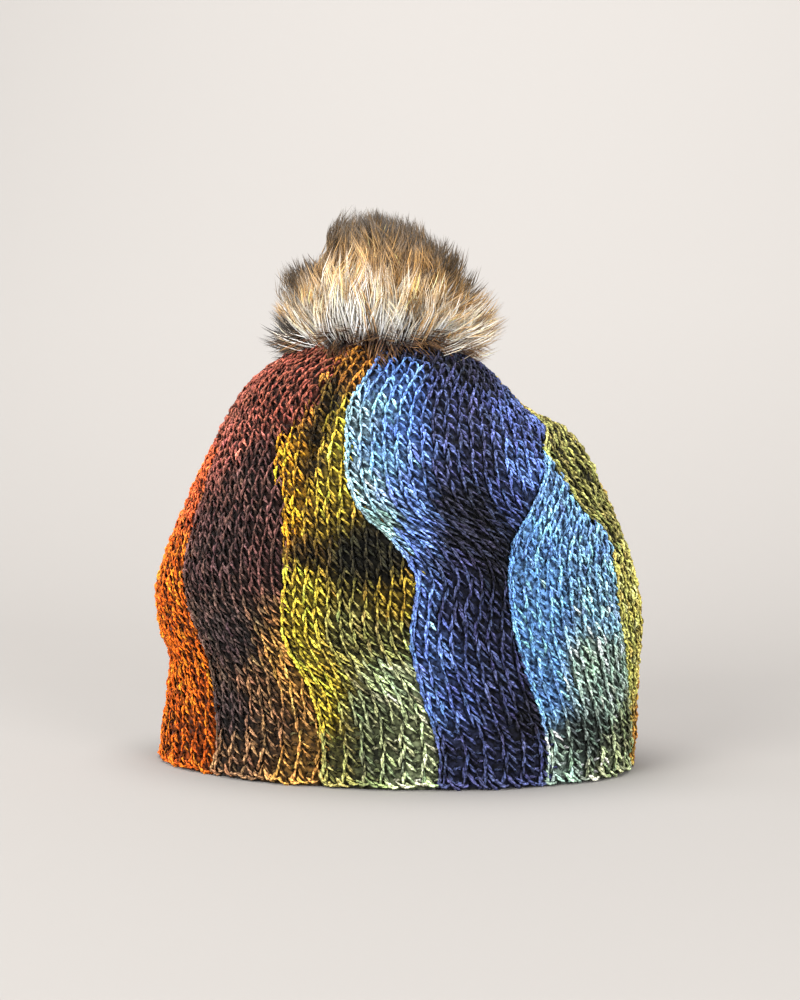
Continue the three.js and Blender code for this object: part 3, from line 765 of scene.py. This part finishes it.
def knit(name, left, right, follow, patches, rng):
    """All the stitches of one gore as one piece: ribs at the rim, V stitches, an edge line, rim loops."""
    top = LEAF_TOP if name == "gore_sky" else CROWN_ROWS_END
    edge_end = MUSTARD_EDGE_END if name == "gore_mustard" else 1.0
    grain = grain_along(follow)
    columns = np.arange(-8, 40) + 0.5
    loop_columns = np.arange(-16, 60) + 0.5
    band_rows = round(BAND_TOP * LENGTH / ROW_PITCH)
    body_rows = int(top * LENGTH / ROW_PITCH)
    levels = (np.arange(body_rows + 1) * ROW_PITCH + RIM_LIFT) / LENGTH
    edge_levels = levels[levels < edge_end]
    ribs = stitch_rows(left, right, grain, RIB_PITCH, levels[:band_rows + 1], columns)
    body = stitch_rows(left, right, grain, WALE_PITCH, levels[band_rows:], columns)
    edge = stitch_rows(left, right, grain_along("left"), WALE_PITCH, edge_levels, np.zeros(1))
    loops = stitch_rows(left, right, grain, RIB_PITCH / 2, levels[:2], loop_columns)
    # Places, leg, its width, gain of its colour, its looseness
    courses = (
        (ribs, SLANT_LEG, 0.8, 1.05, 0.7),
        (ribs, UPRIGHT_LEG, 0.8, 1.05, 0.7),
        (ribs, PURL_BAR, 1.0, 3.0, 0.7),
        (body, SLANT_LEG, 1.0, 1.0, 1.0),
        (body, UPRIGHT_LEG, 1.0, 1.0, 1.0),
        (edge, EDGE_LEG, 1.0, 1.0, 0.3),
        (loops, RIM_LOOP, 1.0, 1.1, 1.0),
    )
    faces = tube_faces(len(SLANT_LEG), PLY_SIDES, False)
    points, lengths, colours = [], [], []
    for places, leg, narrow, gain, loose in courses:
        angle, level = places[4:]
        count = len(angle)
        colour = yarn_colour(patches, angle, level)
        strongest = colour.max(-1, keepdims=True)
        colour = colour * (1 - (1 - strongest) ** (YARN_GAIN * gain)) / strongest
        brightness = np.exp(BRIGHTNESS_CHANCE * rng.standard_normal((count, 1)))
        hue = 1 + HUE_CHANCE * rng.standard_normal((count, 3))
        crease = np.clip(1 - CREASE_SHADE * fold_depth(angle, level), CREASE_DARKEST, 1)
        colour = np.clip(colour * (brightness * hue) * crease[:, None], 0, COLOUR_LIMIT)
        jitter = rng.uniform(-1, 1, (count, 6))
        tube, length, height = leg_plies(leg, places, jitter, narrow, loose)
        # Painted shade: each ply is darkened by its height, down its sides and into the hollows between
        # stitches, less in pale yarn
        pale = np.tile(paleness(colour), PLIES)[:, None]
        unshaded_share = smooth(*HOLLOW_HEIGHTS, height) ** (HOLLOW_CURVE - pale)
        depth = mix(HOLLOW_DARK + HOLLOW_PALE * pale, 1, unshaded_share)
        points.append(tube)
        lengths.append(length + np.tile(rng.uniform(0, STRAND_SHIFT, (count, 1)), (PLIES, 1)))
        colours.append(np.tile(colour, (PLIES, 1))[:, None, :] * depth[..., None])
    points, lengths, colours = (np.concatenate(rows) for rows in (points, lengths, colours))
    return joined_tubes(name + "_stitches", points, faces, colours, lengths, PLY_ROUND)


def gore_wall(name, left, right, patches):
    """The backing of one gore: a curved sheet given the thickness of the knitted wall, darker outside as
    painted shade between the stitches.
    """
    top = LEAF_TOP - 0.004 if name == "gore_sky" else CROWN_LEVEL
    columns, rows = 20, 60
    least_turn = 0.001
    shape = bmesh.new()
    bmesh.ops.create_grid(shape, x_segments=columns, y_segments=rows, size=0.5)
    knit_uv = shape.loops.layers.uv.new("Strand")
    tint = shape.verts.layers.float_color.new("yarn")
    flat = np.array([vert.co[:2] for vert in shape.verts]) + 0.5
    level = flat[:, 1] * top
    low, high = gore_edges(left, right, level)
    joint = GAP / 2 / spread(low, level)
    angle = mix(low + joint, np.maximum(high - joint, low + joint + least_turn), flat[:, 0])
    out = form_frame(angle, level)[2]
    rise = relief(angle, level, flat[:, 0]) - BACKING_DEPTH
    points = form_point(angle, level) + out * rise[:, None]
    points[level < 1e-6, 2] = 0
    colour = yarn_colour(patches, angle, level)
    for face in shape.faces:
        for loop in face.loops:
            u, v = flat[loop.vert.index]
            loop[knit_uv].uv = (u * WALES_IN_GORE, v * top * LENGTH / ROW_PITCH)
    for vert, point, shade in zip(shape.verts, points, colour):
        vert.co = Vector(point * MM)
        # The outside takes a dark share of the yarn colour: painted shade showing between the stitches
        vert[tint] = (*(shade * (WALL_OUTSIDE_SHADE + WALL_PALE_SHADE_LIFT * paleness(shade))), 1)
    sheet = len(shape.verts)
    bmesh.ops.recalc_face_normals(shape, faces=shape.faces)
    bmesh.ops.solidify(shape, geom=shape.faces[:], thickness=(WALL - BACKING_DEPTH) * MM)
    shape.verts.ensure_lookup_table()
    for inner, outer, shade in zip(shape.verts[sheet:], shape.verts[:sheet], colour):
        inner[tint] = (*(shade * WALL_INSIDE), 1)
        inner.co.z = max(inner.co.z, 0) if outer.co.z > 0 else 0
    return smooth_object(name + "_wall", shape)


def direction(turn, rise):
    return np.stack([np.sin(turn) * np.cos(rise), -np.cos(turn) * np.cos(rise), np.sin(rise)], -1)


def fur_reach(turn, rise):
    """Reach of the fur at a place, inside the outline of the view, and how near that outline it is."""
    aside = np.sin(np.radians(turn - VIEW_TURN)) * np.cos(np.radians(rise))
    up = np.sin(np.radians(rise))
    near = np.hypot(aside, up)
    slope = np.degrees(np.arctan2(up, np.abs(aside)))
    left, right = (np.interp(slope, FUR_REACH[:, 0], FUR_REACH[:, k]) for k in (1, 2))
    edge = np.where(aside < 0, left, right)
    full = mix(FUR_REACH_MIDDLE, edge, smooth(*OUTLINE_NEAR, near))
    return np.minimum(full, edge / np.maximum(near, 0.1)), near


def roundness(rise, least):
    """Share of the widest circle that the circle at a rise has."""
    return np.maximum(np.cos(np.radians(np.minimum(rise, 80))), least)


def fur_shade(tone, share, rng, hairs):
    """Colour along each hair of a tier, with each hair a little different."""
    stops = np.array([stop for stop, colour in FUR_COLOURS[tone]])
    colours = np.array([linear(colour) for stop, colour in FUR_COLOURS[tone]])
    place = np.clip(share + rng.uniform(-TONE_SHIFT, TONE_SHIFT, hairs), 0, 1)
    shade = np.stack([np.interp(place, stops, colours[:, k]) for k in range(3)], -1)
    return shade * np.exp(HAIR_BRIGHTNESS * rng.standard_normal(hairs))[..., None]


def tuft_hairs(tier, share, rng):
    """Paths and colours of the hairs of one tier of tufts. A tuft's hairs draw together toward its tip."""
    count, low, high, front_lift, side_lift, root_reach, tone = tier
    hairs = (count, HAIRS_IN_TUFT, 1)
    each = (slice(None), None, None)
    turn = np.arange(count) * GOLDEN_TURN + rng.uniform(-TUFT_TURN, TUFT_TURN, count)
    root = rng.uniform(low, high, count)
    front = np.cos(np.radians(turn)) ** 2
    tip = root + mix(side_lift, front_lift, front) + rng.uniform(-TUFT_LIFT, TUFT_LIFT, count)
    tip = np.minimum(tip, HIGHEST_TIP)
    narrow = roundness(tip, 0.3)
    tip_turn = turn + rng.uniform(-TUFT_SWING, TUFT_SWING, count) / narrow
    bow = rng.uniform(-TUFT_BOW, TUFT_BOW, count) / narrow
    bow = bow * np.clip(np.abs(tip - root) / FULL_BOW_LIFT, 0, 1)
    long = rng.uniform(*HAIR_LONG, hairs) * rng.uniform(*TUFT_LONG, (count, 1, 1))
    fan = rng.standard_normal((2,) + hairs)
    wide = 1 / roundness(np.abs(root), 0.25)
    drawn = mix(1.0, FAN_AT_TIP, share)
    azimuth = mix(turn[each], tip_turn[each], share ** TURN_CURVE)
    azimuth = azimuth + bow[each] * np.sin(math.pi * share)
    azimuth = azimuth + FAN_TURN * fan[0] * drawn * wide[each]
    rise = mix(root[each], tip[each], share ** RISE_CURVE) + FAN_RISE * fan[1] * drawn
    end, near = fur_reach(tip_turn, tip)
    reach = mix(root_reach, end[each] * long, share ** REACH_CURVE)
    reach = reach + rng.uniform(*ROOT_CHANCE, hairs) * (1 - share)
    reach = np.minimum(reach, fur_reach(azimuth, rise)[0] * long)
    path = POMPOM + reach[..., None] * direction(np.radians(azimuth), np.radians(rise))
    from_dark = np.abs((turn - DARK_TURN + 180) % 360 - 180)
    dark = (from_dark < DARK_HALF_WIDTH) & (tip < DARK_HIGHEST)
    dark_shade = fur_shade("dark", share, rng, hairs)
    shade = np.where(dark[each][..., None], dark_shade, fur_shade(tone, share, rng, hairs))
    shade = shade * np.exp(TUFT_BRIGHTNESS * rng.standard_normal((count, 1, 1, 1)))
    rim = smooth(*RIM_NEAR, near) * smooth(*RIM_RISE, tip)
    tipped = rim[each] * smooth(*RIM_SHARE, share)
    shade = shade * mix(1, FUR_TIP_DARKEST, tipped)[..., None]
    stops = share.size
    return path.reshape(-1, stops, 3), np.clip(shade, 0, 1).reshape(-1, stops, 3)


def fur(name, tiers, rng):
    """Hairs of some tiers of tufts as one piece of pointed tubes."""
    rings = len(HAIR_TAPER)

    def on_rings(values):
        return np.concatenate([np.repeat(values[:, :rings], HAIR_SIDES, axis=1), values[:, rings:]], 1)

    share = np.linspace(0, 1, rings + 1)[None, None, :]
    parts = [tuft_hairs(tier, share, rng) for tier in tiers]
    path, colours = (np.concatenate(rows) for rows in zip(*parts))
    along = unit(np.gradient(path, axis=1))
    any_side = np.broadcast_to(np.array([0.31, 0.22, 0.92]), along.shape)
    side = unit(np.cross(along, any_side))
    lift = np.cross(side, along)
    radius = rng.uniform(*HAIR_RADIUS, (len(path), 1)) * HAIR_TAPER[None, :]
    turn = np.full(radius.shape, math.pi / 2)
    points = tube_rings(path[:, :rings], side[:, :rings], lift[:, :rings], radius, HAIR_SIDES, turn)[0]
    points = np.concatenate([points, path[:, rings:]], 1)
    lengths = on_rings(np.broadcast_to(np.linspace(0, HAIR_LENGTH, rings + 1), path.shape[:2]))
    return joined_tubes(name, points, tube_faces(rings, HAIR_SIDES, True), on_rings(colours), lengths, 1.0)


def pompom_core():
    """The backing under the fur, seated over the crown."""
    shape = bmesh.new()
    bmesh.ops.create_uvsphere(shape, u_segments=32, v_segments=20, radius=1)
    tint = shape.verts.layers.float_color.new("yarn")
    for vert in shape.verts:
        point = POMPOM + np.array(vert.co) * CORE_RADIUS
        crown = CROWN_TOP - CROWN_DROP * ((point[0] - POMPOM[0]) ** 2 + point[1] ** 2)
        point[2] = max(point[2], crown)
        vert.co = Vector(point * MM)
        pale = float(smooth(*CORE_PALES, point[2]))
        vert[tint] = (*mix(linear(FUR_ROOT), linear(FUR_CORE), pale), 1)
    return smooth_object("pompom_core", shape)


def new_material(name, roughness, sheen):
    material = bpy.data.materials.new(name)
    material.use_nodes = True
    shader = material.node_tree.nodes["Principled BSDF"]
    shader.inputs["Roughness"].default_value = roughness
    shader.inputs["Sheen Weight"].default_value = sheen
    shader.inputs["Sheen Roughness"].default_value = 0.5
    shader.inputs["Specular IOR Level"].default_value = 0.12
    return material, material.node_tree.nodes, material.node_tree.links, shader


def remap(nodes, links, value, from_range, to_range):
    """A value taken from one range to another."""
    node = nodes.new("ShaderNodeMapRange")
    node.inputs["From Min"].default_value = from_range[0]
    node.inputs["From Max"].default_value = from_range[1]
    node.inputs["To Min"].default_value = to_range[0]
    node.inputs["To Max"].default_value = to_range[1]
    links.new(value, node.inputs["Value"])
    return node.outputs["Result"]


def noise(nodes, links, scale, detail):
    """Fine noise over the piece."""
    place = nodes.new("ShaderNodeTexCoord")
    node = nodes.new("ShaderNodeTexNoise")
    node.inputs["Scale"].default_value = scale
    node.inputs["Detail"].default_value = detail
    links.new(place.outputs["Object"], node.inputs["Vector"])
    return node.outputs["Fac"]


def shade_yarn(nodes, links, shader, shade):
    """The piece's yarn colours, painted shade included, scaled by a shade, as the base colour."""
    tint = nodes.new("ShaderNodeAttribute")
    tint.attribute_name = "yarn"
    colour = nodes.new("ShaderNodeVectorMath")
    colour.operation = "SCALE"
    links.new(tint.outputs["Color"], colour.inputs[0])
    links.new(shade, colour.inputs["Scale"])
    links.new(colour.outputs["Vector"], shader.inputs["Base Color"])


def calculate(nodes, links, operation, first, second):
    """Result of an operation on a value and a second value or number."""
    node = nodes.new("ShaderNodeMath")
    node.operation = operation
    links.new(first, node.inputs[0])
    if isinstance(second, (int, float)):
        node.inputs[1].default_value = second
    else:
        links.new(second, node.inputs[1])
    return node.outputs["Value"]


def bump(nodes, links, shader, height, strength, distance):
    node = nodes.new("ShaderNodeBump")
    node.inputs["Strength"].default_value = strength
    node.inputs["Distance"].default_value = distance
    links.new(height, node.inputs["Height"])
    links.new(node.outputs["Normal"], shader.inputs["Normal"])
    return node


def yarn_material():
    material, nodes, links, shader = new_material("wool_yarn", 0.85, 0.03)
    strand = nodes.new("ShaderNodeUVMap")
    strand.uv_map = "Strand"
    ply = nodes.new("ShaderNodeTexWave")
    ply.wave_type = "BANDS"
    ply.bands_direction = "DIAGONAL"
    ply.inputs["Scale"].default_value = 0.22
    ply.inputs["Distortion"].default_value = 1.2
    ply.inputs["Detail"].default_value = 2
    links.new(strand.outputs["UV"], ply.inputs["Vector"])
    streak = remap(nodes, links, noise(nodes, links, 900, 3), (0.3, 0.7), (0.8, 1.6))
    # Darker bands along the ply twist: painted shade of the twist's grooves, on the same pattern as its bump
    twist_shade = remap(nodes, links, ply.outputs["Fac"], (0, 1), (0.7, 1.2))
    shade_yarn(nodes, links, shader, calculate(nodes, links, "MULTIPLY", streak, twist_shade))
    bump(nodes, links, shader, ply.outputs["Fac"], 0.6, 0.0005)
    return material


def wall_material():
    material, nodes, links, shader = new_material("wool_backing", 0.95, 0.1)
    patchy = remap(nodes, links, noise(nodes, links, 420, 2), (0.4, 0.65), (0.25, 2.0))
    shade_yarn(nodes, links, shader, patchy)
    columns = nodes.new("ShaderNodeUVMap")
    columns.uv_map = "Strand"
    purl = nodes.new("ShaderNodeTexVoronoi")
    purl.voronoi_dimensions = "2D"
    purl.inputs["Scale"].default_value = 1
    purl.inputs["Randomness"].default_value = 0.35
    links.new(columns.outputs["UV"], purl.inputs["Vector"])
    bumps = bump(nodes, links, shader, purl.outputs["Distance"], 0.9, 0.002)
    bumps.invert = True
    return material


def fur_material():
    material, nodes, links, shader = new_material("pompom_fur", 0.55, 0.1)
    tint = nodes.new("ShaderNodeAttribute")
    tint.attribute_name = "yarn"
    links.new(tint.outputs["Color"], shader.inputs["Base Color"])
    return material


def make_camera():
    data = bpy.data.cameras.new("camera")
    data.sensor_width = SENSOR
    data.lens = data.sensor_width * VIEW_DISTANCE / FIELD_HEIGHT
    camera = bpy.data.objects.new("camera", data)
    bpy.context.collection.objects.link(camera)
    away = Vector(direction(math.radians(VIEW_TURN), math.radians(VIEW_RISE)))
    camera.location = (Vector(VIEW_AIM) + away * VIEW_DISTANCE) * MM
    camera.rotation_euler = away.to_track_quat("Z", "Y").to_euler()
    bpy.context.scene.camera = camera


def area_light(name, place, aim, size, power, colour):
    data = bpy.data.lights.new(name, "AREA")
    data.shape = "DISK"
    data.size = size
    data.energy = power
    data.color = colour
    light = bpy.data.objects.new(name, data)
    light.location = place
    light.rotation_euler = (Vector(place) - Vector(aim)).to_track_quat("Z", "Y").to_euler()
    bpy.context.collection.objects.link(light)


def make_lights():
    for light in LIGHTS:
        area_light(*light)
    world = bpy.data.worlds.new("studio")
    world.use_nodes = True
    world.node_tree.nodes["Background"].inputs["Color"].default_value = WORLD_COLOUR
    world.node_tree.nodes["Background"].inputs["Strength"].default_value = WORLD_STRENGTH
    bpy.context.scene.world = world
    bpy.context.scene.view_settings.view_transform = "Standard"


def floor_material():
    """Floor and backdrop in nearly one colour, paler far from the hat."""
    material, nodes, links, shader = new_material("pale_floor", 0.9, 0)
    place = nodes.new("ShaderNodeTexCoord")
    axes = nodes.new("ShaderNodeSeparateXYZ")
    links.new(place.outputs["Object"], axes.inputs["Vector"])
    paper = nodes.new("ShaderNodeMix")
    paper.data_type = "RGBA"
    paper.inputs["A"].default_value = (*linear(FLOOR_COLOUR), 1)
    paper.inputs["B"].default_value = (*linear(BACKDROP_COLOUR), 1)
    links.new(remap(nodes, links, axes.outputs["Y"], BACKDROP_RANGE, (0, 1)), paper.inputs["Factor"])
    aside = calculate(nodes, links, "ABSOLUTE", axes.outputs["X"], 0)
    forward = calculate(nodes, links, "MULTIPLY", axes.outputs["Y"], -1)
    furthest = calculate(nodes, links, "MAXIMUM", aside, forward)
    ground = nodes.new("ShaderNodeMix")
    ground.data_type = "RGBA"
    ground.inputs["B"].default_value = (*linear(FAR_COLOUR), 1)
    links.new(remap(nodes, links, furthest, FAR_RANGE, (0, 1)), ground.inputs["Factor"])
    links.new(paper.outputs["Result"], ground.inputs["A"])
    links.new(ground.outputs["Result"], shader.inputs["Base Color"])
    return material


def make_floor():
    """A pale floor that curves up into a backdrop."""
    shape = bmesh.new()
    profile = [(FLOOR_FRONT, 0)]
    for k in range(BEND_STEPS + 1):
        turn = math.pi / 2 * k / BEND_STEPS
        profile.append((BEND_START + BEND_RADIUS * math.sin(turn), BEND_RADIUS * (1 - math.cos(turn))))
    profile.append((BEND_START + BEND_RADIUS, BACKDROP_HEIGHT))
    verts = [shape.verts.new((-FLOOR_HALF_WIDTH, y, z)) for y, z in profile]
    edges = [shape.edges.new(pair) for pair in zip(verts[:-1], verts[1:])]
    swept = bmesh.ops.extrude_edge_only(shape, edges=edges)["geom"]
    moved = [item for item in swept if isinstance(item, bmesh.types.BMVert)]
    bmesh.ops.translate(shape, verts=moved, vec=(2 * FLOOR_HALF_WIDTH, 0, 0))
    bmesh.ops.recalc_face_normals(shape, faces=shape.faces)
    floor = smooth_object("floor", shape)
    floor.data.materials.append(floor_material())


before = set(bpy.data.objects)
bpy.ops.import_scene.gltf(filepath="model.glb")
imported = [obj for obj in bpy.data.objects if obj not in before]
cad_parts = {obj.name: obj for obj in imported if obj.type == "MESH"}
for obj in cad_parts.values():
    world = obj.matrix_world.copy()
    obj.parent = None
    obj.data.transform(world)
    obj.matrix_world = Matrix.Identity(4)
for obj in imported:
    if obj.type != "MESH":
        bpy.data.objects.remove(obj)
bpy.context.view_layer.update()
rng = np.random.default_rng(SEED)

yarn = yarn_material()
backing = wall_material()
hair = fur_material()


def finish_piece(piece, node, material, replace):
    piece.data.materials.append(material)
    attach(piece, "root")
    if replace:
        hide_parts(node)


for node, left, right, follow, patches in GORES:
    finish_piece(gore_wall(node, left, right, patches), node, backing, True)
    finish_piece(knit(node, left, right, follow, patches, rng), node, yarn, False)

finish_piece(pompom_core(), "pompom", hair, True)
finish_piece(fur("pompom_lower_fur", LOWER_TUFTS, rng), "pompom", hair, False)
finish_piece(fur("pompom_upper_fur", UPPER_TUFTS, rng), "pompom", hair, False)

make_camera()
make_lights()
make_floor()
